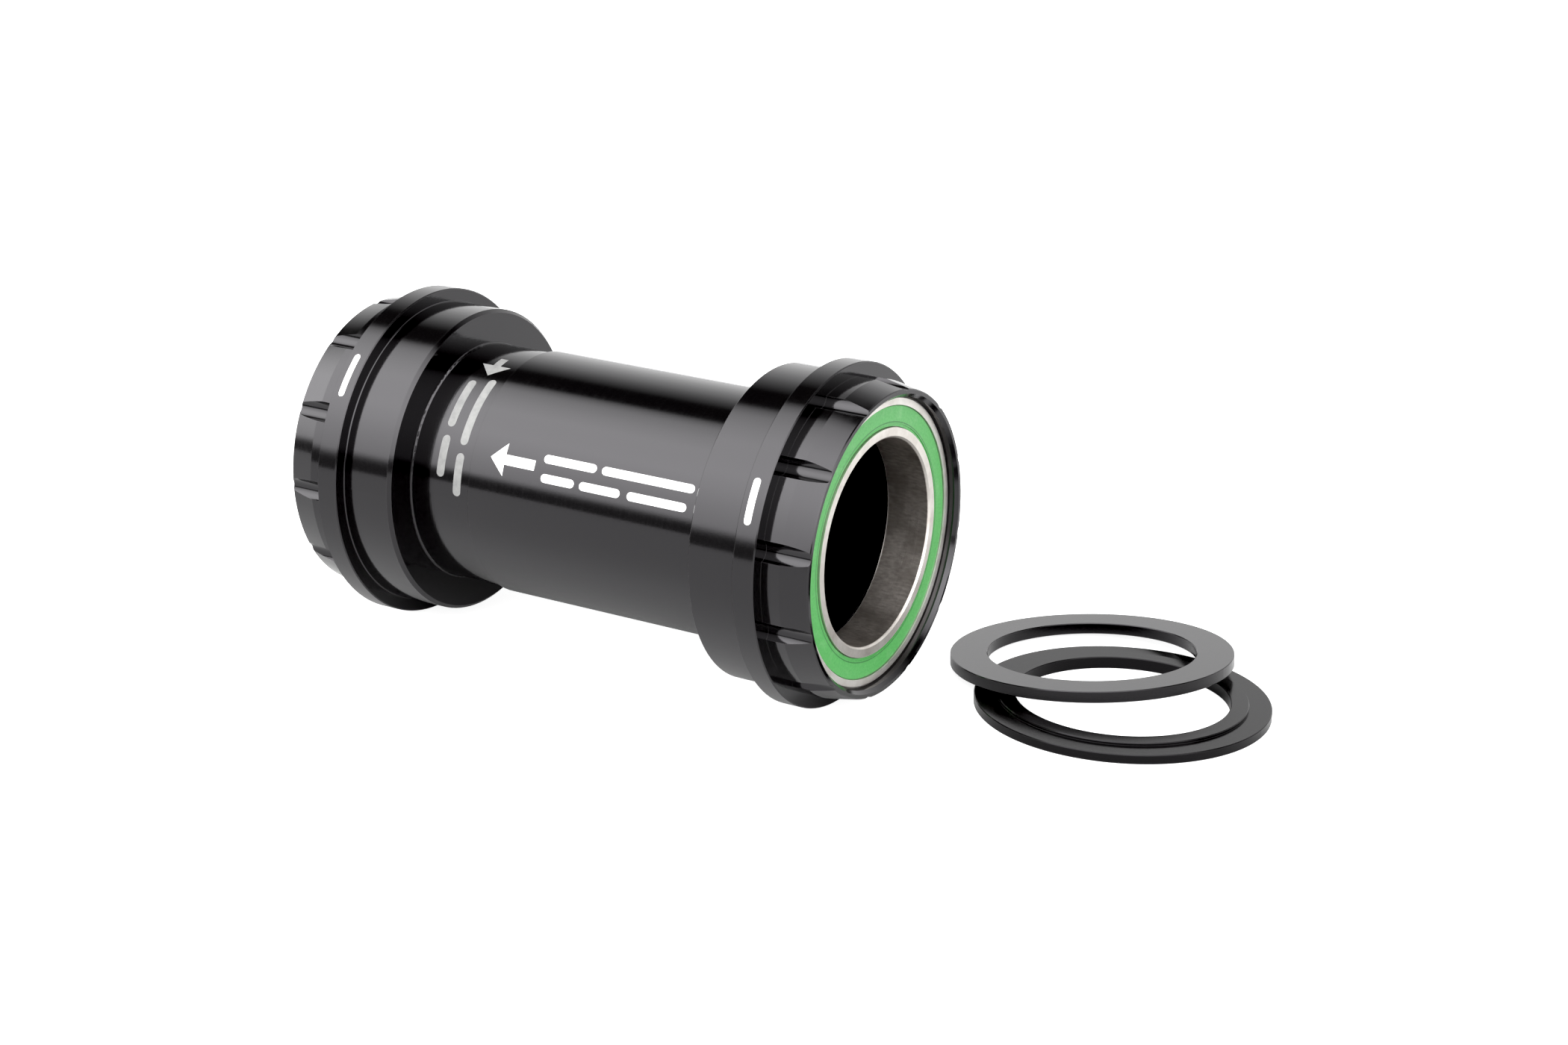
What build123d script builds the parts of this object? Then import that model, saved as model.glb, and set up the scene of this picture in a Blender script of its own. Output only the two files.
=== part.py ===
from build123d import *
import math
import os

# Bottom bracket for a press-fit frame shell: two flanged cups that screw together, a sealed
# ball bearing in each, and two loose spindle spacers. Millimetres. The spindle axis is X, with
# the drive side at +X and +Z up. The origin is on the axis, midway between the two flanges.

# Frame shell that the bracket fits
SHELL_WIDTH = 68.0
SEAT_RADIUS = 23.0
SEAT_LENGTH = 8.3
SEAT_FILLET = 0.2

# Flanges and the notched tool rings outboard of them
FLANGE_HEIGHT = 2.0
FLANGE_THICKNESS = 3.35
TOOL_RING_LENGTH = 7.0
TOOL_RING_WALL = 1.94
TOOL_RING_TAPER = 0.75
TOOL_RING_STRAIGHT = 2.9
NOTCH_COUNT = 12
NOTCH_RADIUS = 1.6
NOTCH_DEPTH = 1.05
DRIVE_NOTCH_ANGLE = 20.0
NON_DRIVE_NOTCH_ANGLE = 26.0

# Deep-groove ball bearing, 30 x 42 x 7
BEARING_BORE_RADIUS = 15.0
BEARING_SECTION = 6.0
BEARING_WIDTH = 7.0
BEARING_RECESS = 1.45
BEARING_FIT = 0.01
RACE_CHAMFER = 0.3
BALL_RADIUS = 1.75
BALL_COUNT = 17
BALL_CLEARANCE = 0.02
INNER_GROOVE_DEPTH = 0.6
OUTER_GROOVE_DEPTH = 0.45
RACEWAY_CONFORMITY = 1.04
RELIEF_WIDTH = 1.8
RELIEF_DEPTH = 0.8

# Sleeve, neck and the screwed joint between the cups
SLEEVE_SPINDLE_CLEARANCE = 1.2
SLEEVE_WALL = 0.94
SPIGOT_SPINDLE_CLEARANCE = 0.45
SPIGOT_WALL = 1.85
SPIGOT_LENGTH = 16.0
SPIGOT_CLEARANCE = 0.06
NECK_STEP = 0.55
NECK_LENGTH = 10.4
NECK_FILLET = 0.3
JOINT_END_GAP = 0.1
SOCKET_RUNOUT = 1.5

# O-ring in its groove near the root of the spigot
O_RING_CORD_RADIUS = 0.55
O_RING_GROOVE_SETBACK = 1.0
O_RING_CLEARANCE = 0.03

# Cage
CAGE_RACE_CLEARANCE = 0.3
CAGE_POCKET_CLEARANCE = 0.08
CAGE_WEB = 0.25
CAGE_FRONT_LENGTH = 0.9

# Seals
SEAL_RECESS = 0.2
SEAL_THICKNESS = 0.6
SEAL_LAND_DEPTH = 0.35
SEAL_LAND_RUNOUT = 0.2
SEAL_MOUTH_DEPTH = 0.4
SEAL_LIP_GAP = 0.12
SEAL_GROOVE_DEPTH = 0.25
SEAL_RIM_GAP = 0.16
SEAL_RIM_SETBACK = 0.25
SEAL_STEP_WIDTH = 0.4
SEAL_STEP_DEPTH = 0.12
STIFFENER_THICKNESS = 0.25
STIFFENER_MARGIN = 0.5

# Loose spindle spacers, lying on the surface beside the drive side
FLAT_SPACER_CLEARANCE = 0.4
FLAT_SPACER_WIDTH = 5.5
FLAT_SPACER_THICKNESS = 1.7
FLAT_SPACER_OFFSET = (-9.25, 9.2)
FLAT_SPACER_LOW_SIDE = 152.0
STEPPED_SPACER_CLEARANCE = 0.5
STEPPED_SPACER_WIDTH = 5.9
STEPPED_SPACER_THICKNESS = 1.4
STEPPED_SPACER_END_GAP = 6.67
STEPPED_SPACER_PLACE_Y = 20.9
SPACER_LIP_WIDTH = 2.6
SPACER_LIP_HEIGHT = 0.45
SPACER_EDGE_BREAK = 0.12
SPACER_GAP = 0.05

# Edge breaks
EDGE_BREAK = 0.15
SEAT_LEAD_IN = 0.5
LIP_CHAMFER = 0.5

# Places along the axis, of the right-hand side of the bracket
flange_inboard = SHELL_WIDTH / 2
flange_outboard = flange_inboard + FLANGE_THICKNESS
cup_end = flange_outboard + TOOL_RING_LENGTH
seat_end = flange_inboard - SEAT_LENGTH
bearing_face = cup_end - BEARING_RECESS
bearing_back = bearing_face - BEARING_WIDTH
bearing_centre = bearing_face - BEARING_WIDTH / 2
relief_end = bearing_back - RELIEF_DEPTH
seal_front = BEARING_WIDTH / 2 - SEAL_RECESS
seal_back = seal_front - SEAL_THICKNESS
seal_rim_front = seal_front - SEAL_RIM_SETBACK
seal_land_end = seal_back - SEAL_LAND_RUNOUT

# Places of the screwed joint, which lies to the left of the middle
neck_end = -(seat_end - NECK_LENGTH)
spigot_tip = neck_end + SPIGOT_LENGTH
socket_end = spigot_tip + SOCKET_RUNOUT

# Radii of the bearing
bearing_outer_radius = BEARING_BORE_RADIUS + BEARING_SECTION
ball_pitch_radius = BEARING_BORE_RADIUS + BEARING_SECTION / 2
inner_race_radius = ball_pitch_radius - BALL_RADIUS + INNER_GROOVE_DEPTH
outer_race_radius = ball_pitch_radius + BALL_RADIUS - OUTER_GROOVE_DEPTH
seal_land_radius = inner_race_radius - SEAL_LAND_DEPTH
seal_mouth_radius = outer_race_radius + SEAL_MOUTH_DEPTH
seal_lip_radius = seal_land_radius + SEAL_LIP_GAP
seal_face_radius = seal_mouth_radius - SEAL_RIM_GAP
seal_rim_radius = seal_mouth_radius + SEAL_GROOVE_DEPTH

# Radii of the cups
pocket_radius = bearing_outer_radius + BEARING_FIT
relief_radius = bearing_outer_radius - RELIEF_WIDTH
tool_ring_radius = pocket_radius + TOOL_RING_WALL
tool_ring_end_radius = tool_ring_radius - TOOL_RING_TAPER
flange_radius = max(SEAT_RADIUS, tool_ring_radius) + FLANGE_HEIGHT
sleeve_bore_radius = BEARING_BORE_RADIUS + SLEEVE_SPINDLE_CLEARANCE
spigot_bore_radius = BEARING_BORE_RADIUS + SPIGOT_SPINDLE_CLEARANCE
spigot_radius = spigot_bore_radius + SPIGOT_WALL
socket_radius = spigot_radius + SPIGOT_CLEARANCE
sleeve_radius = socket_radius + SLEEVE_WALL
neck_radius = spigot_radius + NECK_STEP

# Sizes and places of the spacers
floor_height = -flange_radius
flat_bore_radius = BEARING_BORE_RADIUS + FLAT_SPACER_CLEARANCE
flat_radius = flat_bore_radius + FLAT_SPACER_WIDTH
stepped_bore_radius = BEARING_BORE_RADIUS + STEPPED_SPACER_CLEARANCE
stepped_radius = stepped_bore_radius + STEPPED_SPACER_WIDTH
lip_radius = stepped_bore_radius + SPACER_LIP_WIDTH
lip_top = STEPPED_SPACER_THICKNESS + SPACER_LIP_HEIGHT
stepped_place_x = cup_end + STEPPED_SPACER_END_GAP + stepped_radius
flat_place_x = stepped_place_x + FLAT_SPACER_OFFSET[0]
flat_place_y = STEPPED_SPACER_PLACE_Y + FLAT_SPACER_OFFSET[1]


def turned(points):
    """A ring turned about the X axis from an outline of (x, radius) points."""
    outline = Polyline(*[(x, radius) for x, radius in points], close=True)
    return revolve(make_face(outline), axis=Axis.X)


def circle_edges(solid, x, radius):
    """The circular edges of a turned solid at one place along the axis and one radius."""
    found = []
    for edge in solid.edges().filter_by(GeomType.CIRCLE):
        at_place = abs(edge.arc_center.X - x) < 0.01
        if at_place and abs(edge.radius - radius) < 0.01 and abs(edge.arc_center.Y) < 0.01:
            found.append(edge)
    return found


def notch_cutters(start_angle):
    """Round-bottomed axial grooves spaced evenly around the tool ring."""
    bar_length = 2 * TOOL_RING_LENGTH
    centre_radius = tool_ring_radius - NOTCH_DEPTH + NOTCH_RADIUS
    place = Pos(flange_outboard + bar_length / 2, 0, centre_radius)
    cutters = []
    for index in range(NOTCH_COUNT):
        angle = start_angle + index * 360 / NOTCH_COUNT
        bar = Cylinder(NOTCH_RADIUS, bar_length, rotation=(0, 90, 0))
        cutters.append(Rot(angle, 0, 0) * place * bar)
    return cutters


def head_outline(seat_chamfer):
    """Outer points shared by both cups, from the end of the seat in to the bearing's relief."""
    straight_end = flange_outboard + TOOL_RING_STRAIGHT
    return [
        (seat_end, SEAT_RADIUS - seat_chamfer),
        (seat_end + seat_chamfer, SEAT_RADIUS),
        (flange_inboard, SEAT_RADIUS),
        (flange_inboard, flange_radius - EDGE_BREAK),
        (flange_inboard + EDGE_BREAK, flange_radius),
        (flange_outboard - EDGE_BREAK, flange_radius),
        (flange_outboard, flange_radius - EDGE_BREAK),
        (flange_outboard, tool_ring_radius),
        (straight_end, tool_ring_radius),
        (cup_end - EDGE_BREAK, tool_ring_end_radius),
        (cup_end, tool_ring_end_radius - EDGE_BREAK),
        (cup_end, pocket_radius + LIP_CHAMFER),
        (cup_end - LIP_CHAMFER, pocket_radius),
        (bearing_back, pocket_radius),
        (bearing_back, relief_radius),
        (relief_end, relief_radius),
    ]


def drive_side_cup():
    """Flanged cup whose long sleeve crosses the shell and takes the other cup's spigot."""
    sleeve_end = neck_end + JOINT_END_GAP
    inside = [
        (relief_end, sleeve_bore_radius),
        (socket_end + (socket_radius - sleeve_bore_radius), sleeve_bore_radius),
        (socket_end, socket_radius),
        (sleeve_end, socket_radius),
    ]
    sleeve = [
        (sleeve_end, sleeve_radius - EDGE_BREAK),
        (sleeve_end + EDGE_BREAK, sleeve_radius),
        (seat_end, sleeve_radius),
    ]
    cup = turned(sleeve + head_outline(EDGE_BREAK) + inside)
    cup = fillet(circle_edges(cup, flange_inboard, SEAT_RADIUS), SEAT_FILLET)
    cup -= notch_cutters(DRIVE_NOTCH_ANGLE)
    return cup


def non_drive_side_cup():
    """Flanged cup with a neck and a screwed spigot, turned end for end to the left side."""
    groove_start = -neck_end - O_RING_GROOVE_SETBACK
    groove_end = groove_start - 2 * O_RING_CORD_RADIUS - 4 * O_RING_CLEARANCE
    groove_radius = socket_radius - 2 * O_RING_CORD_RADIUS - 2 * O_RING_CLEARANCE
    inside = [
        (relief_end, spigot_bore_radius),
        (-spigot_tip, spigot_bore_radius),
    ]
    spigot = [
        (-spigot_tip, spigot_radius - SEAT_LEAD_IN),
        (-spigot_tip + SEAT_LEAD_IN, spigot_radius),
        (groove_end, spigot_radius),
        (groove_end, groove_radius),
        (groove_start, groove_radius),
        (groove_start, spigot_radius),
        (-neck_end, spigot_radius),
        (-neck_end, neck_radius),
        (seat_end, neck_radius),
    ]
    cup = turned(spigot + head_outline(SEAT_LEAD_IN) + inside)
    cup = fillet(circle_edges(cup, flange_inboard, SEAT_RADIUS), SEAT_FILLET)
    cup = fillet(circle_edges(cup, seat_end, neck_radius), NECK_FILLET)
    cup -= notch_cutters(NON_DRIVE_NOTCH_ANGLE)
    return Rot(0, 0, 180) * cup


def o_ring():
    """Round-section ring in the spigot's groove, just clear of the socket and the groove."""
    cord_centre = socket_radius - O_RING_CLEARANCE - O_RING_CORD_RADIUS
    place = neck_end + O_RING_GROOVE_SETBACK + 2 * O_RING_CLEARANCE + O_RING_CORD_RADIUS
    return Pos(place, 0, 0) * Torus(cord_centre, O_RING_CORD_RADIUS, rotation=(0, 90, 0))


def raceway():
    """The ring that the balls' track leaves in both races."""
    track = BALL_RADIUS * RACEWAY_CONFORMITY
    return Torus(ball_pitch_radius, track, rotation=(0, 90, 0))


def inner_race():
    """Inner ring of a bearing, centred on the origin, with a lower land under each seal."""
    half = BEARING_WIDTH / 2
    race = turned([
        (-half, BEARING_BORE_RADIUS),
        (half, BEARING_BORE_RADIUS),
        (half, seal_land_radius),
        (seal_land_end, seal_land_radius),
        (seal_land_end, inner_race_radius),
        (-seal_land_end, inner_race_radius),
        (-seal_land_end, seal_land_radius),
        (-half, seal_land_radius),
    ])
    bore_edges = circle_edges(race, half, BEARING_BORE_RADIUS)
    bore_edges += circle_edges(race, -half, BEARING_BORE_RADIUS)
    race = chamfer(bore_edges, RACE_CHAMFER)
    return race - raceway()


def outer_race():
    """Outer ring of a bearing, its bore opened for each seal, with a groove for the rim."""
    half = BEARING_WIDTH / 2
    profile = [(-half, bearing_outer_radius), (half, bearing_outer_radius)]
    for side in (1, -1):
        corners = [
            (half, seal_mouth_radius),
            (seal_rim_front, seal_mouth_radius),
            (seal_rim_front, seal_rim_radius),
            (seal_back, seal_rim_radius),
            (seal_back, outer_race_radius),
        ]
        ordered = corners if side > 0 else reversed(corners)
        profile += [(side * x, radius) for x, radius in ordered]
    race = turned(profile)
    rim_edges = circle_edges(race, half, bearing_outer_radius)
    rim_edges += circle_edges(race, -half, bearing_outer_radius)
    race = chamfer(rim_edges, RACE_CHAMFER)
    return race - raceway()


def ball_places():
    """The balls' angles round the X axis."""
    return [index * 360 / BALL_COUNT for index in range(BALL_COUNT)]


def balls():
    """All the balls of one bearing, as separate solids."""
    radius = BALL_RADIUS - BALL_CLEARANCE
    solids = []
    for angle in ball_places():
        solids.append(Rot(angle, 0, 0) * Pos(0, 0, ball_pitch_radius) * Sphere(radius))
    return Compound(solids)


def cage():
    """Crown cage: a ring with a round pocket for each ball, open towards the front."""
    ball_pocket_radius = BALL_RADIUS + CAGE_POCKET_CLEARANCE
    back = -(ball_pocket_radius + CAGE_WEB)
    inner_radius = inner_race_radius + CAGE_RACE_CLEARANCE
    outer_radius = outer_race_radius - CAGE_RACE_CLEARANCE
    ring = turned([
        (back, inner_radius),
        (CAGE_FRONT_LENGTH, inner_radius),
        (CAGE_FRONT_LENGTH, outer_radius),
        (back, outer_radius),
    ])
    for angle in ball_places():
        pocket = Pos(0, 0, ball_pitch_radius) * Sphere(ball_pocket_radius)
        ring -= Rot(angle, 0, 0) * pocket
    return ring


def seal():
    """Rubber seal for the front of a bearing, stepped back at its inner lip and its rim."""
    step_front = seal_front - SEAL_STEP_DEPTH
    rubber = turned([
        (seal_back, seal_lip_radius),
        (step_front, seal_lip_radius),
        (step_front, seal_lip_radius + SEAL_STEP_WIDTH),
        (seal_front, seal_lip_radius + SEAL_STEP_WIDTH),
        (seal_front, seal_face_radius),
        (seal_rim_front, seal_face_radius),
        (seal_rim_front, seal_rim_radius),
        (seal_back, seal_rim_radius),
    ])
    return rubber - seal_stiffener()


def seal_stiffener():
    """Steel washer moulded into the back of the rubber seal."""
    front = seal_back + STIFFENER_THICKNESS
    inner_radius = seal_lip_radius + STIFFENER_MARGIN
    outer_radius = seal_rim_radius - STIFFENER_MARGIN
    return turned([
        (seal_back, inner_radius),
        (front, inner_radius),
        (front, outer_radius),
        (seal_back, outer_radius),
    ])


def bearing_pieces(prefix, side):
    """The pieces of one bearing, with its front to the outside of the bracket."""
    front = Pos(side * bearing_centre, 0, 0) * Rot(0, 0, 0 if side > 0 else 180)
    back = front * Rot(0, 0, 180)
    return {
        prefix + "_outer_race": front * outer_race(),
        prefix + "_inner_race": front * inner_race(),
        prefix + "_balls": front * balls(),
        prefix + "_cage": front * cage(),
        prefix + "_outer_seal": front * seal(),
        prefix + "_outer_seal_stiffener": front * seal_stiffener(),
        prefix + "_inner_seal": back * seal(),
        prefix + "_inner_seal_stiffener": back * seal_stiffener(),
    }


def spacer_ring(outer_radius, bore_radius, thickness):
    """A flat ring that stands on the XY plane, with every edge lightly broken."""
    upward = (Align.CENTER, Align.CENTER, Align.MIN)
    ring = Cylinder(outer_radius, thickness, align=upward)
    ring -= Cylinder(bore_radius, thickness, align=upward)
    return chamfer(ring.edges().filter_by(GeomType.CIRCLE), SPACER_EDGE_BREAK)


def stepped_spacer():
    """Spacer that lies flat, with a raised lip round its bore to bear on the inner race."""
    base = spacer_ring(stepped_radius, stepped_bore_radius, STEPPED_SPACER_THICKNESS)
    lip = spacer_ring(lip_radius, stepped_bore_radius, lip_top)
    return Pos(stepped_place_x, STEPPED_SPACER_PLACE_Y, floor_height) * (base + lip)


def circle_crossings(first_radius, second_radius, offset_x, offset_y):
    """Where two circles cross, with the first at the origin and the second at the offset."""
    distance = math.hypot(offset_x, offset_y)
    along = (first_radius**2 - second_radius**2 + distance**2) / (2 * distance)
    if abs(along) > first_radius:
        return []
    across = math.sqrt(first_radius**2 - along**2)
    unit_x, unit_y = offset_x / distance, offset_y / distance
    crossings = []
    for side in (across, -across):
        crossings.append((along * unit_x - side * unit_y, along * unit_y + side * unit_x))
    return crossings


def lean_angle():
    """Tilt that rests the flat spacer on the stepped one, hinged at its low edge."""
    low_side = math.radians(FLAT_SPACER_LOW_SIDE)
    offset_x, offset_y = -FLAT_SPACER_OFFSET[0], -FLAT_SPACER_OFFSET[1]
    steepest = 0
    for radius, height in ((stepped_radius, STEPPED_SPACER_THICKNESS), (lip_radius, lip_top)):
        for edge_radius in (flat_bore_radius, flat_radius):
            for x, y in circle_crossings(edge_radius, radius, offset_x, offset_y):
                reach = flat_radius - x * math.cos(low_side) - y * math.sin(low_side)
                steepest = max(steepest, math.atan2(height, reach))
    return steepest


def flat_spacer():
    """Plain spacer that leans on the stepped one, with its low side on the floor."""
    ring = spacer_ring(flat_radius, flat_bore_radius, FLAT_SPACER_THICKNESS)
    tilt = lean_angle()
    low_side = math.radians(FLAT_SPACER_LOW_SIDE)
    lift = flat_radius * math.sin(tilt) + SPACER_GAP
    lean_axis = (-math.sin(low_side), math.cos(low_side), 0)
    leaning = ring.rotate(Axis((0, 0, 0), lean_axis), math.degrees(tilt))
    return Pos(flat_place_x, flat_place_y, floor_height + lift) * leaning


def build_pieces():
    """Every piece in its place, by name."""
    pieces = {
        "drive_side_cup": drive_side_cup(),
        "non_drive_side_cup": non_drive_side_cup(),
        "joint_o_ring": o_ring(),
        "stepped_spacer": stepped_spacer(),
        "flat_spacer": flat_spacer(),
    }
    pieces.update(bearing_pieces("drive_side", 1))
    pieces.update(bearing_pieces("non_drive_side", -1))
    return pieces


os.makedirs("parts", exist_ok=True)
for name, solid in build_pieces().items():
    export_step(solid, "parts/" + name + ".step")
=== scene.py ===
import math

import bmesh
import bpy
from mathutils import Matrix, Vector


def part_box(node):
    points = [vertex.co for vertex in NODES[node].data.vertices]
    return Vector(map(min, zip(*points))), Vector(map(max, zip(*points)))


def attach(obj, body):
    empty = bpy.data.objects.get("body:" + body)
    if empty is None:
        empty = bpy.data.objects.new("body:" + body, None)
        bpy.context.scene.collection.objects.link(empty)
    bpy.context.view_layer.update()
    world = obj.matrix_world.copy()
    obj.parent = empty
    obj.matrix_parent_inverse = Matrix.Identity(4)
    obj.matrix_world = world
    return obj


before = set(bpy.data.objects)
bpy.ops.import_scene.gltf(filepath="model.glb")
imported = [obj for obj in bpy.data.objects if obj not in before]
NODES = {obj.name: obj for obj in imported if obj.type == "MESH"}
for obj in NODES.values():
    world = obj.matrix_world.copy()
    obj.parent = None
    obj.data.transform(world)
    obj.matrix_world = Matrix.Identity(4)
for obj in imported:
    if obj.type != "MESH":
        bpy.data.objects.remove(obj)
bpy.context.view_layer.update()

# Metres, in the part's own frame: the spindle axis is X, the drive side is at +X, and Z is up.
# Angles round the spindle axis are measured from -Y (0) over the top (90) to +Y (180).
MM = 0.001

# ---------------------------------------------------------------- sizes of the CAD model
FLOOR_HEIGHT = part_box("stepped_spacer")[0].z
FLANGE_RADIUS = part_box("drive_side_cup")[1].z
SLEEVE_RADIUS = 18.3 * MM
NECK_RADIUS = 17.85 * MM


# ---------------------------------------------------------------- node helpers
# An edge shows where the rounded normal leaves the flat one, by the cosine between them.
EDGE_SAMPLES = 4
EDGE_START = 0.98
EDGE_FULL = 0.80

# Most of a noise texture's values lie between these two.
NOISE_LOW = 0.3
NOISE_HIGH = 0.7


def new_material(name):
    """A material with an empty node tree."""
    material = bpy.data.materials.new(name)
    material.use_nodes = True
    material.node_tree.nodes.clear()
    return material


class Graph:
    """Adds nodes to a tree and links them. An input is named, or numbered as in #0."""

    def __init__(self, tree):
        self.tree = tree

    def add(self, kind, settings=None, **inputs):
        node = self.tree.nodes.new(kind)
        for key, value in (settings or {}).items():
            setattr(node, key, value)
        for key, value in inputs.items():
            self.put(node, key.replace("_", " "), value)
        return node

    def put(self, node, key, value):
        socket = node.inputs[int(key[1:])] if key[0] == "#" else node.inputs[key]
        if isinstance(value, bpy.types.NodeSocket):
            self.tree.links.new(value, socket)
        else:
            socket.default_value = value

    def math(self, operation, first, second=0.0, clamp=False):
        node = self.tree.nodes.new("ShaderNodeMath")
        node.operation = operation
        node.use_clamp = clamp
        self.put(node, "#0", first)
        self.put(node, "#1", second)
        return node.outputs[0]

    def mix(self, factor, first, second):
        """Colour between the first, at factor 0, and the second, at factor 1."""
        node = self.tree.nodes.new("ShaderNodeMix")
        node.data_type = "RGBA"
        node.blend_type = "MIX"
        self.put(node, "#0", factor)
        self.put(node, "#6", first)
        self.put(node, "#7", second)
        return node.outputs[2]

    def spread(self, value, low, high, out_low=0.0, out_high=1.0):
        """The value carried from low to high over to out_low to out_high, and held there."""
        node = self.tree.nodes.new("ShaderNodeMapRange")
        for index, number in enumerate((value, low, high, out_low, out_high)):
            self.put(node, "#%d" % index, number)
        return node.outputs[0]

    def noise(self, vector, scale, detail=3.0, roughness=0.5):
        node = self.tree.nodes.new("ShaderNodeTexNoise")
        self.put(node, "Vector", vector)
        self.put(node, "Scale", scale)
        self.put(node, "Detail", detail)
        self.put(node, "Roughness", roughness)
        return node.outputs[0]

    def varied(self, noise, middle, below, above):
        """A value that follows a noise, from below to above the middle one."""
        return self.spread(noise, NOISE_LOW, NOISE_HIGH, middle - below, middle + above)

    def position(self):
        return self.add("ShaderNodeTexCoord").outputs["Object"]

    def parts(self, vector):
        return self.add("ShaderNodeSeparateXYZ", Vector=vector).outputs

    def joined(self, x, y, z):
        return self.add("ShaderNodeCombineXYZ", X=x, Y=y, Z=z).outputs[0]

    def length(self, first, second):
        """Length of the vector with these two parts."""
        squares = self.math("MULTIPLY", first, first), self.math("MULTIPLY", second, second)
        return self.math("SQRT", self.math("ADD", *squares))

    def edge_mask(self, radius):
        """1 on sharp edges, 0 on the faces between them."""
        bevel = self.add("ShaderNodeBevel", {"samples": EDGE_SAMPLES}, Radius=radius)
        normal = self.add("ShaderNodeNewGeometry").outputs["Normal"]
        dot = self.tree.nodes.new("ShaderNodeVectorMath")
        dot.operation = "DOT_PRODUCT"
        self.put(dot, "#0", bevel.outputs[0])
        self.put(dot, "#1", normal)
        return self.spread(dot.outputs["Value"], EDGE_START, EDGE_FULL)

    def surface(self, **inputs):
        """The finished surface, with these inputs of the Principled shader."""
        shader = self.add("ShaderNodeBsdfPrincipled", **inputs)
        self.add("ShaderNodeOutputMaterial", Surface=shader.outputs[0])


def round_axis(graph, position):
    """Lengthwise place and radius of a point about the spindle axis."""
    x, y, z = graph.parts(position)[:3]
    return x, graph.length(y, z)


# ---------------------------------------------------------------- materials
# Depth of the surface grain, by the kind of surface
FINE_GRAIN = 0.02 * MM
RUBBER_GRAIN = 0.04 * MM
POLISH_GRAIN = 0.01 * MM

# Widths of the edges painted lighter as a highlight
ANODISE_EDGE = 0.22 * MM
STEEL_EDGE = 0.15 * MM

# The screw thread's relief, and the radii and places along the axis between which it is cut
THREAD_PITCH = 1.0 * MM
THREAD_DEPTH = 0.30 * MM
THREAD_RADIUS = (17.20 * MM, 17.33 * MM)
THREAD_PLACE = (-13.2 * MM, 0.3 * MM)


def inside(graph, value, low, high):
    """1 where the value lies between two limits, 0 elsewhere."""
    above = graph.math("GREATER_THAN", value, low)
    below = graph.math("LESS_THAN", value, high)
    return graph.math("MULTIPLY", above, below)


def thread_relief(graph, position):
    """Height of the right-hand screw thread on the spigot, 0 everywhere else on the cups."""
    along, radius = round_axis(graph, position)
    across = graph.parts(position)
    turn = graph.math("DIVIDE", graph.math("ARCTAN2", across["Z"], across["Y"]), 2 * math.pi)
    phase = graph.math("SUBTRACT", graph.math("DIVIDE", along, THREAD_PITCH), turn)
    ridge = graph.math("PINGPONG", phase, 0.5)
    on_spigot = inside(graph, radius, *THREAD_RADIUS)
    on_length = inside(graph, along, *THREAD_PLACE)
    return graph.math("MULTIPLY", graph.math("MULTIPLY", on_spigot, on_length), ridge)


BLACK = (0.0004, 0.0003, 0.0004, 1.0)
BLACK_SHADE = (0.0014, 0.0012, 0.0012, 1.0)
# Lighter black painted on the edges as a highlight
EDGE_HIGHLIGHT_BLACK = (0.030, 0.029, 0.030, 1.0)
ANODISE_TINT = (0.98, 0.955, 1.0, 1.0)
LATHE_LINES = 9000.0
EDGE_HIGHLIGHT_ROUGHNESS = 0.12
GRAIN_SHARE = 0.8


def anodised(name, roughness, line_strength, ior, centre=None):
    """Gloss black anodised aluminium with fine lathe lines, and with its edges painted lighter
    as a highlight and made rougher.

    The lines run round the spindle axis, or round the vertical through a centre.
    """
    material = new_material(name)
    g = Graph(material.node_tree)
    position = g.position()
    if centre is None:
        along, radius = round_axis(g, position)
    else:
        place = g.add("ShaderNodeVectorMath", {"operation": "SUBTRACT"})
        g.put(place, "#0", position)
        g.put(place, "#1", tuple(centre))
        x, y, along = g.parts(place.outputs[0])[:3]
        radius = g.length(x, y)
    lathe = g.noise(g.joined(along, radius, 0.0), LATHE_LINES, detail=2.0, roughness=0.6)
    grain = g.noise(position, scale=5200.0, detail=2.0, roughness=0.6)
    cloud = g.noise(position, scale=90.0, detail=4.0, roughness=0.6)
    speck = g.noise(position, scale=2600.0, detail=2.0, roughness=0.5)
    edge = g.edge_mask(ANODISE_EDGE)
    # Painted highlight: the edges are painted lighter, by an uneven share, and made rougher
    painted_edge_highlight = g.math("MULTIPLY", edge, g.spread(cloud, 0.35, 0.7, out_low=0.25), clamp=True)
    tint = g.mix(cloud, BLACK, BLACK_SHADE)
    colour = g.mix(painted_edge_highlight, tint, EDGE_HIGHLIGHT_BLACK)
    rough_lines = g.varied(lathe, roughness, below=0.025, above=0.03)
    rough_cloud = g.spread(speck, 0.4, 0.7, out_high=0.03)
    rough_off_edges = g.math("ADD", rough_lines, rough_cloud)
    rough = g.math("ADD", rough_off_edges, g.math("MULTIPLY", painted_edge_highlight, EDGE_HIGHLIGHT_ROUGHNESS))
    height = g.math("ADD", lathe, g.math("MULTIPLY", grain, GRAIN_SHARE))
    normal = g.add(
        "ShaderNodeBump", Strength=line_strength, Distance=FINE_GRAIN, Height=height
    ).outputs[0]
    if centre is None:
        thread = thread_relief(g, position)
        normal = g.add(
            "ShaderNodeBump", Strength=1.0, Distance=THREAD_DEPTH, Height=thread, Normal=normal
        ).outputs[0]
    g.surface(
        Base_Color=colour, Roughness=rough, Normal=normal, IOR=ior, Specular_Tint=ANODISE_TINT
    )
    return material


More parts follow.
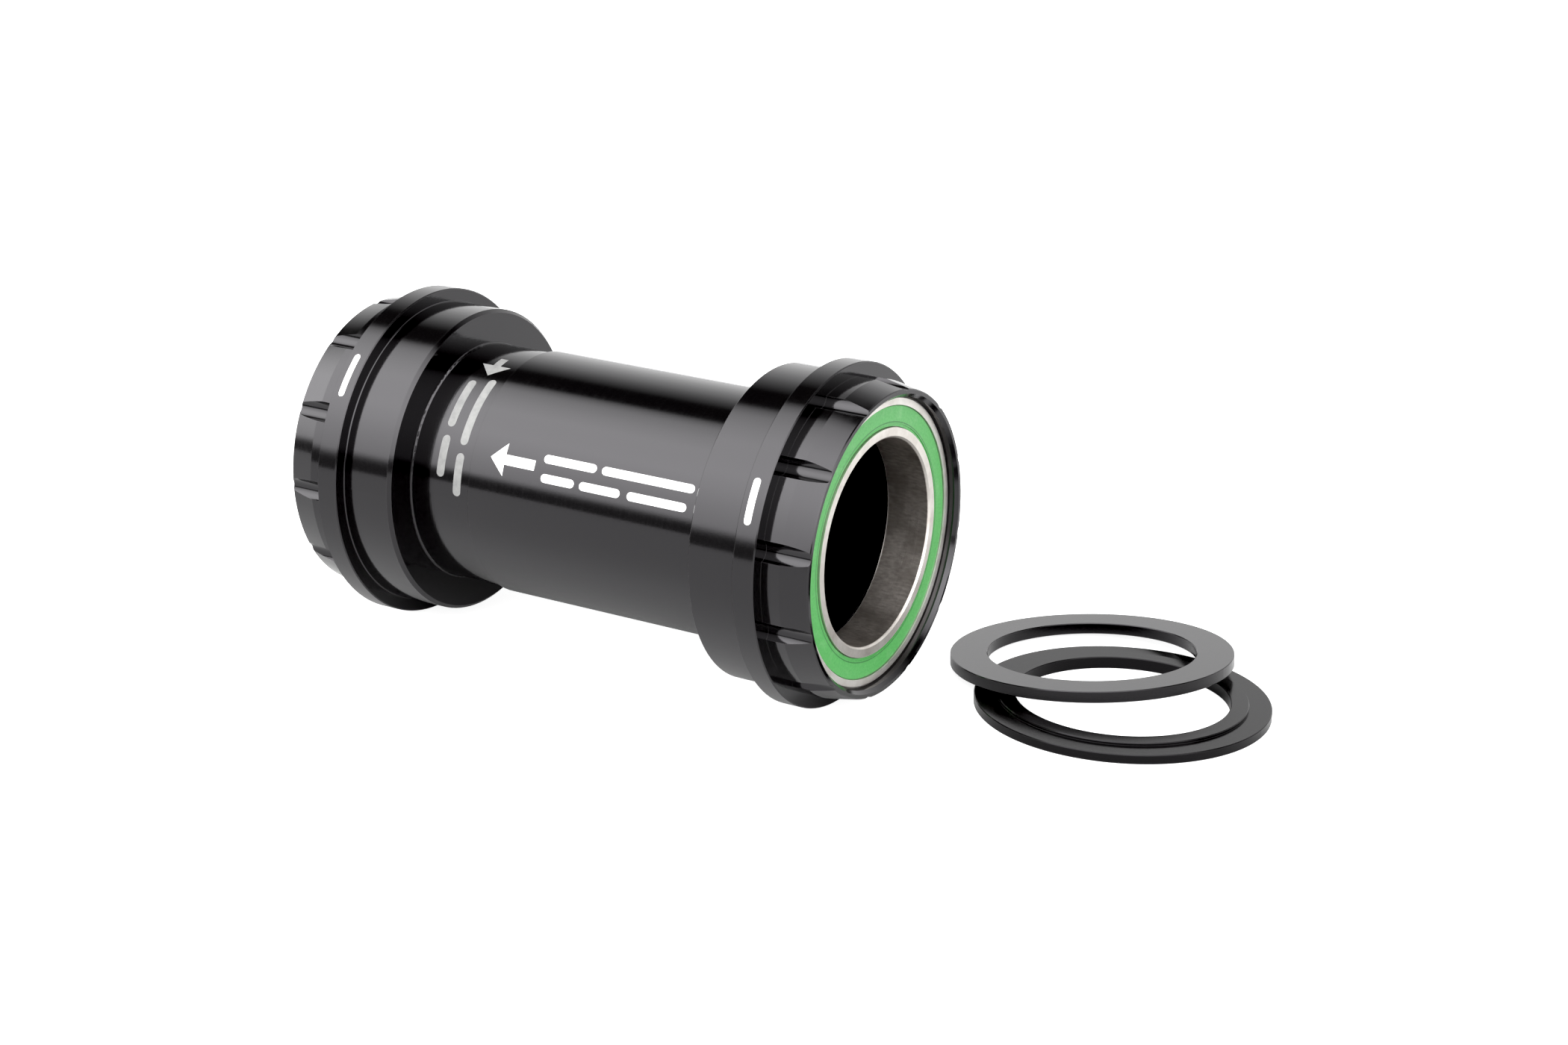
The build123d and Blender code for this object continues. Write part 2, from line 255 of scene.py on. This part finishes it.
# The bore's colours, painted darker than the ring's as shade inside the bore, and the radii
# between which they give way to the ring's
BORE_PAINTED_SHADE = (0.50, 0.46, 0.43, 1.0)
BORE_PAINTED_SHADE_DARK = (0.21, 0.185, 0.165, 1.0)
BORE_EDGE = (15.02 * MM, 15.10 * MM)
# Lighter steel painted on the edges as a highlight, and how much of it
EDGE_HIGHLIGHT_STEEL = (0.80, 0.78, 0.74, 1.0)
EDGE_HIGHLIGHT_STEEL_SHARE = 0.6
GRINDING_LINES = 5200.0
STREAK_STRETCH = 0.35
FINE_SHARE = 0.6


def ground_steel(name, colour, dark, roughness):
    """Ground steel: grinding marks round the axis, a little staining, edges painted lighter as
    a highlight and a bore painted darker as shade.
    """
    material = new_material(name)
    g = Graph(material.node_tree)
    position = g.position()
    along, radius = round_axis(g, position)
    lines = g.noise(g.joined(along, radius, 0.0), GRINDING_LINES, detail=3.0, roughness=0.7)
    stain = g.noise(position, scale=260.0, detail=4.0, roughness=0.65)
    fine = g.noise(position, scale=3500.0, detail=2.0, roughness=0.5)
    edge = g.edge_mask(STEEL_EDGE)
    base = g.mix(g.spread(stain, 0.35, 0.7), colour, dark)
    base = g.mix(g.spread(lines, 0.3, 0.75, out_high=0.35), base, dark)
    # Painted highlight: the edges painted lighter
    base = g.mix(g.math("MULTIPLY", edge, EDGE_HIGHLIGHT_STEEL_SHARE), base, EDGE_HIGHLIGHT_STEEL)
    across = g.parts(position)
    stretched = g.joined(g.math("MULTIPLY", along, STREAK_STRETCH), across["Y"], across["Z"])
    streak = g.noise(stretched, scale=2800.0)
    blotch = g.noise(position, scale=190.0, detail=3.0, roughness=0.55)
    # Painted shade: the bore darker than the ring, with random streaks and blotches
    bore = g.mix(g.spread(streak, 0.35, 0.65, out_high=0.5), BORE_PAINTED_SHADE, BORE_PAINTED_SHADE_DARK)
    bore = g.mix(g.spread(blotch, 0.42, 0.62, out_high=0.6), bore, BORE_PAINTED_SHADE_DARK)
    base = g.mix(g.spread(radius, *BORE_EDGE), bore, base)
    rough = g.math(
        "ADD",
        g.varied(lines, roughness, below=0.06, above=0.08),
        g.varied(fine, 0.0, below=0.03, above=0.03),
    )
    height = g.math("ADD", lines, g.math("MULTIPLY", fine, FINE_SHARE))
    bump = g.add("ShaderNodeBump", Strength=0.35, Distance=FINE_GRAIN, Height=height)
    g.surface(Base_Color=base, Roughness=rough, Normal=bump.outputs[0], Metallic=1.0)
    return material


# The crease in a seal's face, between these radii, painted darker as shade, and the bloom on
# its rubber
SEAL_CREASE = (17.17 * MM, 17.33 * MM)
SEAL_CREASE_PAINTED_SHADE = (0.010, 0.070, 0.016, 1.0)
SEAL_CREASE_SHADE_SHARE = 0.75
SEAL_BLOOM_COLOUR = (0.42, 0.55, 0.40, 1.0)
PORE_SHARE = 0.7
RING_SHARE = 0.5


def rubber(name, colour, shade, roughness):
    """Moulded rubber with a fine matt grain, faint mould rings and painted shade in a crease
    round its lip.
    """
    material = new_material(name)
    g = Graph(material.node_tree)
    position = g.position()
    radius = round_axis(g, position)[1]
    rings = g.noise(g.joined(0.0, radius, 0.0), scale=2600.0, detail=1.0, roughness=0.5)
    pores = g.noise(position, scale=3000.0, detail=3.0, roughness=0.6)
    dust = g.noise(position, scale=420.0, detail=4.0, roughness=0.65)
    base = g.mix(g.spread(pores, 0.35, 0.7, out_high=0.7), colour, shade)
    base = g.mix(g.spread(dust, 0.55, 0.8, out_high=0.18), base, SEAL_BLOOM_COLOUR)
    rough = g.varied(pores, roughness, below=0.06, above=0.08)
    crease = inside(g, radius, *SEAL_CREASE)
    # Painted shade: the crease painted darker
    base = g.mix(g.math("MULTIPLY", crease, SEAL_CREASE_SHADE_SHARE), base, SEAL_CREASE_PAINTED_SHADE)
    pore_height = g.math("MULTIPLY", pores, PORE_SHARE)
    height = g.math("ADD", pore_height, g.math("MULTIPLY", rings, RING_SHARE))
    bump = g.add("ShaderNodeBump", Strength=0.4, Distance=RUBBER_GRAIN, Height=height)
    g.surface(Base_Color=base, Roughness=rough, Normal=bump.outputs[0], IOR=1.5)
    return material


def moulded(name, colour, shade, roughness):
    """Moulded plastic or plain rubber, slightly uneven."""
    material = new_material(name)
    g = Graph(material.node_tree)
    position = g.position()
    cloud = g.noise(position, scale=300.0, detail=4.0, roughness=0.6)
    grain = g.noise(position, scale=4000.0, detail=2.0, roughness=0.5)
    base = g.mix(cloud, colour, shade)
    rough = g.varied(grain, roughness, below=0.04, above=0.06)
    bump = g.add("ShaderNodeBump", Strength=0.3, Distance=FINE_GRAIN, Height=grain)
    g.surface(Base_Color=base, Roughness=rough, Normal=bump.outputs[0], IOR=1.5)
    return material


def polished(name, colour, shade, roughness):
    """Hard polished steel with faint running marks."""
    material = new_material(name)
    g = Graph(material.node_tree)
    position = g.position()
    marks = g.noise(position, scale=900.0, detail=4.0, roughness=0.6)
    base = g.mix(marks, colour, shade)
    rough = g.varied(marks, roughness, below=0.02, above=0.05)
    bump = g.add("ShaderNodeBump", Strength=0.1, Distance=POLISH_GRAIN, Height=marks)
    g.surface(Base_Color=base, Roughness=rough, Normal=bump.outputs[0], Metallic=1.0)
    return material


def print_ink(name, colour, shade):
    """Pad-printed ink, slightly uneven in colour and gloss."""
    material = new_material(name)
    g = Graph(material.node_tree)
    position = g.position()
    patch = g.noise(position, scale=700.0, detail=4.0, roughness=0.7)
    grain = g.noise(position, scale=5000.0, detail=2.0, roughness=0.5)
    base = g.mix(g.spread(patch, 0.4, 0.75), colour, shade)
    rough = g.varied(grain, 0.5, below=0.08, above=0.08)
    bump = g.add("ShaderNodeBump", Strength=0.3, Distance=FINE_GRAIN, Height=grain)
    g.surface(Base_Color=base, Roughness=rough, Normal=bump.outputs[0], IOR=1.45)
    return material


def middle_of(node):
    """Middle of a CAD node's box."""
    lowest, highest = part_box(node)
    return (lowest + highest) / 2


cup_black = anodised("cup_black_anodise", roughness=0.09, line_strength=0.09, ior=1.52)
stepped_black = anodised(
    "stepped_spacer_black",
    roughness=0.16,
    line_strength=0.06,
    ior=1.28,
    centre=middle_of("stepped_spacer"),
)
flat_black = anodised(
    "flat_spacer_black",
    roughness=0.16,
    line_strength=0.06,
    ior=1.42,
    centre=middle_of("flat_spacer"),
)
inner_steel = ground_steel(
    "inner_race_steel",
    colour=(0.78, 0.75, 0.71, 1.0),
    dark=(0.56, 0.52, 0.48, 1.0),
    roughness=0.42,
)
outer_steel = ground_steel(
    "outer_race_steel",
    colour=(0.80, 0.78, 0.75, 1.0),
    dark=(0.62, 0.59, 0.55, 1.0),
    roughness=0.46,
)
stiffener = ground_steel(
    "stiffener_steel",
    colour=(0.50, 0.49, 0.47, 1.0),
    dark=(0.30, 0.29, 0.28, 1.0),
    roughness=0.40,
)
seal_green = rubber(
    "seal_green_rubber",
    colour=(0.070, 0.300, 0.076, 1.0),
    shade=(0.050, 0.235, 0.058, 1.0),
    roughness=0.42,
)
cage_plastic = moulded(
    "cage_plastic",
    colour=(0.09, 0.085, 0.08, 1.0),
    shade=(0.06, 0.058, 0.055, 1.0),
    roughness=0.5,
)
cord_rubber = moulded(
    "o_ring_rubber",
    colour=(0.014, 0.014, 0.014, 1.0),
    shade=(0.022, 0.021, 0.020, 1.0),
    roughness=0.45,
)
ball_steel = polished(
    "ball_steel",
    colour=(0.75, 0.75, 0.76, 1.0),
    shade=(0.62, 0.62, 0.63, 1.0),
    roughness=0.08,
)
white_ink = print_ink(
    "white_print", colour=(0.80, 0.80, 0.79, 1.0), shade=(0.66, 0.66, 0.65, 1.0)
)
# The neck's print is the white ink, painted grey as the shade that falls on the neck
neck_ink_painted_shade = print_ink(
    "neck_print_painted_shade", colour=(0.19, 0.19, 0.185, 1.0), shade=(0.13, 0.13, 0.13, 1.0)
)

LOOKS = {
    "cup": cup_black,
    "outer_race": outer_steel,
    "inner_race": inner_steel,
    "balls": ball_steel,
    "cage": cage_plastic,
    "outer_seal": seal_green,
    "inner_seal": seal_green,
    "outer_seal_stiffener": stiffener,
    "inner_seal_stiffener": stiffener,
}


def dress(node, material):
    """Gives a CAD node its finish."""
    mesh = NODES[node].data
    mesh.materials.clear()
    mesh.materials.append(material)


for side in ("drive_side", "non_drive_side"):
    for part, look in LOOKS.items():
        dress(side + "_" + part, look)
dress("joint_o_ring", cord_rubber)
dress("stepped_spacer", stepped_black)
dress("flat_spacer", flat_black)


# ---------------------------------------------------------------- printed marks
# How far a mark stands proud of its cup, how deep it is from front to back, how often it
# bends round the cup, and how many straight pieces make a stripe's round end.
PRINT_LIFT = 0.014 * MM
PRINT_DEPTH = 0.030 * MM
PRINT_STEP = 0.4 * MM
END_STEPS = 8


def wrapped(name, shapes, radius, middle_x, middle_angle, turn, body, ink):
    """Flat shapes wrapped on a cylinder about the spindle axis, as one thin printed mark.

    A shape is a list of (across, up) points in mm, in order round its outline. With turn 0,
    across runs along +X and up runs round the cylinder towards the top.
    """
    mesh = bpy.data.meshes.new(name)
    work = bmesh.new()
    for outline in shapes:
        work.faces.new([work.verts.new((a * MM, b * MM, 0.0)) for a, b in outline])
    bmesh.ops.recalc_face_normals(work, faces=list(work.faces))
    raised = bmesh.ops.extrude_face_region(work, geom=list(work.faces))["geom"]
    for vert in [item for item in raised if isinstance(item, bmesh.types.BMVert)]:
        vert.co.z = PRINT_DEPTH
    cos_turn, sin_turn = math.cos(math.radians(turn)), math.sin(math.radians(turn))
    for vert in work.verts:
        a, b = vert.co.x, vert.co.y
        vert.co.x = a * cos_turn - b * sin_turn
        vert.co.y = a * sin_turn + b * cos_turn
    cuts = int(max(abs(v.co.y) for v in work.verts) / PRINT_STEP) + 1
    for index in range(-cuts, cuts + 1):
        geometry = list(work.verts) + list(work.edges) + list(work.faces)
        bmesh.ops.bisect_plane(
            work, geom=geometry, plane_co=(0, index * PRINT_STEP, 0), plane_no=(0, 1, 0)
        )
    bmesh.ops.triangulate(work, faces=list(work.faces))
    for vert in work.verts:
        angle = math.radians(middle_angle) + vert.co.y / radius
        outer = radius + PRINT_LIFT - PRINT_DEPTH + vert.co.z
        x = middle_x + vert.co.x
        vert.co = Vector((x, -outer * math.cos(angle), outer * math.sin(angle)))
    bmesh.ops.recalc_face_normals(work, faces=list(work.faces))
    work.to_mesh(mesh)
    work.free()
    mesh.materials.append(ink)
    piece = bpy.data.objects.new(name, mesh)
    bpy.context.scene.collection.objects.link(piece)
    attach(piece, body)


def bar(left, right, middle, height):
    """A stripe with rounded ends."""
    half = height / 2
    points = []
    for centre, start in ((right - half, -90), (left + half, 90)):
        for step in range(END_STEPS + 1):
            angle = math.radians(start + step * 180 / END_STEPS)
            points.append((centre + half * math.cos(angle), middle + half * math.sin(angle)))
    return points


def arrow(tail, tip, middle, shaft, head_width, head_length):
    """A solid arrow along the across direction, from tail to tip."""
    way = 1 if tip > tail else -1
    neck = tip - way * head_length
    half, wide = shaft / 2, head_width / 2
    return [
        (tail, middle - half),
        (neck, middle - half),
        (neck, middle - wide),
        (tip, middle),
        (neck, middle + wide),
        (neck, middle + half),
        (tail, middle + half),
    ]


# An arrow with two rows of word-length stripes, which stand for the fitting note on each cup.
SLEEVE_ROW = 1.40
SLEEVE_STRIPE = 1.25
wrapped(
    "drive_side_fitting_note",
    [
        arrow(-9.5, -17.2, middle=0.1, shaft=1.5, head_width=4.8, head_length=2.5),
        bar(-8.2, 0.8, SLEEVE_ROW, SLEEVE_STRIPE),
        bar(1.7, 17.2, SLEEVE_ROW, SLEEVE_STRIPE),
        bar(-8.1, -2.4, -SLEEVE_ROW, SLEEVE_STRIPE),
        bar(-1.5, 5.4, -SLEEVE_ROW, SLEEVE_STRIPE),
        bar(6.6, 16.5, -SLEEVE_ROW, SLEEVE_STRIPE),
    ],
    radius=SLEEVE_RADIUS,
    middle_x=5.3 * MM,
    middle_angle=22.7,
    turn=0.0,
    body="drive_side_cup",
    ink=white_ink,
)
NECK_ROW = 1.55
NECK_STRIPE = 1.35
wrapped(
    "non_drive_side_fitting_note",
    [
        arrow(14.0, 9.4, middle=0.1, shaft=1.3, head_width=5.0, head_length=2.5),
        bar(-10.2, -3.8, -NECK_ROW, NECK_STRIPE),
        bar(-2.6, 8.7, -NECK_ROW, NECK_STRIPE),
        bar(-7.8, -1.6, NECK_ROW, NECK_STRIPE),
        bar(-0.3, 7.9, NECK_ROW, NECK_STRIPE),
    ],
    radius=NECK_RADIUS,
    middle_x=-18.95 * MM,
    middle_angle=34.0,
    turn=90.0,
    body="non_drive_side_cup",
    ink=neck_ink_painted_shade,
)
wrapped(
    "drive_side_flange_mark",
    [bar(-3.3, 3.3, middle=0.0, height=1.1)],
    radius=FLANGE_RADIUS,
    middle_x=35.5 * MM,
    middle_angle=25.4,
    turn=90.0,
    body="drive_side_cup",
    ink=white_ink,
)
wrapped(
    "non_drive_side_flange_mark",
    [bar(-3.5, 3.5, middle=0.0, height=1.0)],
    radius=FLANGE_RADIUS,
    middle_x=-35.75 * MM,
    middle_angle=39.9,
    turn=90.0,
    body="non_drive_side_cup",
    ink=white_ink,
)

# ---------------------------------------------------------------- floor, light and camera
WHITE = (1.0, 1.0, 1.0, 1.0)
FLOOR_GREY = (0.48, 0.48, 0.48, 1.0)
FLOOR_GLOW = 0.85
FLOOR_REACH = 3.0
FLOOR_FRONT = -0.24


def for_camera(graph, kind, others, seen):
    """The first shader for all light, but for what the camera sees itself, the second."""
    both = graph.add("ShaderNodeMixShader")
    graph.put(both, "#0", graph.add("ShaderNodeLightPath").outputs["Is Camera Ray"])
    graph.put(both, "#1", others.outputs[0])
    graph.put(both, "#2", seen.outputs[0])
    graph.add(kind, Surface=both.outputs[0])


def floor():
    """Pale floor that the flanges and the stepped spacer stand on."""
    corners = [
        (-FLOOR_REACH, FLOOR_FRONT),
        (FLOOR_REACH, FLOOR_FRONT),
        (FLOOR_REACH, FLOOR_REACH),
        (-FLOOR_REACH, FLOOR_REACH),
    ]
    mesh = bpy.data.meshes.new("floor")
    mesh.from_pydata([(x, y, FLOOR_HEIGHT) for x, y in corners], [], [(0, 1, 2, 3)])
    material = new_material("floor_white")
    g = Graph(material.node_tree)
    matt = g.add("ShaderNodeBsdfDiffuse", Color=FLOOR_GREY)
    glow = g.add("ShaderNodeEmission", Color=WHITE, Strength=FLOOR_GLOW)
    lit = g.add("ShaderNodeAddShader")
    g.put(lit, "#0", matt.outputs[0])
    g.put(lit, "#1", glow.outputs[0])
    for_camera(g, "ShaderNodeOutputMaterial", others=matt, seen=lit)
    mesh.materials.append(material)
    piece = bpy.data.objects.new("floor", mesh)
    bpy.context.scene.collection.objects.link(piece)


floor()

# Brightness of the studio by the angle round the spindle axis: a big softbox from the front
# horizon to overhead, a dark gap, then a white wall behind. The camera sees white paper.
PAPER_GLOW = 1.3
STUDIO_PEAK = 6.0
STUDIO = (
    (0.0, 0.25),
    (3.0, 0.6),
    (8.0, 3.5),
    (23.0, 4.3),
    (35.0, 5.0),
    (47.0, 5.4),
    (71.0, 5.0),
    (83.0, 4.1),
    (95.0, 2.9),
    (101.0, 1.6),
    (105.0, 0.06),
    (122.0, 0.05),
    (131.0, 0.48),
    (143.0, 1.02),
    (155.0, 1.28),
    (167.0, 1.32),
    (180.0, 1.18),
)


def studio_light():
    """Lights the scene with the studio, and shows plain white paper behind it."""
    world = bpy.data.worlds.new("studio")
    bpy.context.scene.world = world
    world.use_nodes = True
    world.node_tree.nodes.clear()
    g = Graph(world.node_tree)
    x, y, z = g.parts(g.add("ShaderNodeTexCoord").outputs["Generated"])[:3]
    angle = g.math("ARCTAN2", z, g.math("MULTIPLY", y, -1.0))
    share = g.math("DIVIDE", angle, math.pi)
    ramp = g.add("ShaderNodeValToRGB", Fac=share)
    elements = ramp.color_ramp.elements
    while len(elements) > 1:
        elements.remove(elements[-1])
    for index, (degrees, level) in enumerate(STUDIO):
        place = degrees / 180.0
        stop = elements[0] if index == 0 else elements.new(place)
        stop.position = place
        stop.color = (level / STUDIO_PEAK,) * 3 + (1.0,)
    studio = g.add("ShaderNodeBackground", Color=ramp.outputs[0], Strength=STUDIO_PEAK)
    paper = g.add("ShaderNodeBackground", Color=WHITE, Strength=PAPER_GLOW)
    for_camera(g, "ShaderNodeOutputWorld", others=studio, seen=paper)


studio_light()

BLACK_LEVEL = 0.005


def view_colours():
    """Plain sRGB, with the deepest blacks taken down a little."""
    settings = bpy.context.scene.view_settings
    settings.view_transform = "Standard"
    settings.use_curve_mapping = True
    settings.curve_mapping.black_level = (BLACK_LEVEL,) * 3
    settings.curve_mapping.update()


view_colours()

# The camera's place, the directions of its own axes, its lens in mm, and its range
CAMERA_PLACE = (0.23305, -0.35190, 0.13404)
CAMERA_RIGHT = (0.858840, 0.511609, 0.025497)
CAMERA_UP = (-0.180648, 0.255926, 0.949667)
CAMERA_FORWARD = (-0.479333, 0.820218, -0.312221)
CAMERA_LENS = 68.86
SENSOR_WIDTH = 36.0
CLIP_NEAR = 0.01
CLIP_FAR = 20.0


def camera():
    """The scene's camera."""
    data = bpy.data.cameras.new("camera")
    data.lens = CAMERA_LENS
    data.sensor_width = SENSOR_WIDTH
    data.clip_start = CLIP_NEAR
    data.clip_end = CLIP_FAR
    made = bpy.data.objects.new("camera", data)
    bpy.context.scene.collection.objects.link(made)
    back = -Vector(CAMERA_FORWARD)
    columns = (Vector(CAMERA_RIGHT), Vector(CAMERA_UP), back)
    turn = Matrix([[column[row] for column in columns] for row in range(3)])
    made.matrix_world = Matrix.Translation(CAMERA_PLACE) @ turn.to_4x4()
    bpy.context.scene.camera = made


camera()
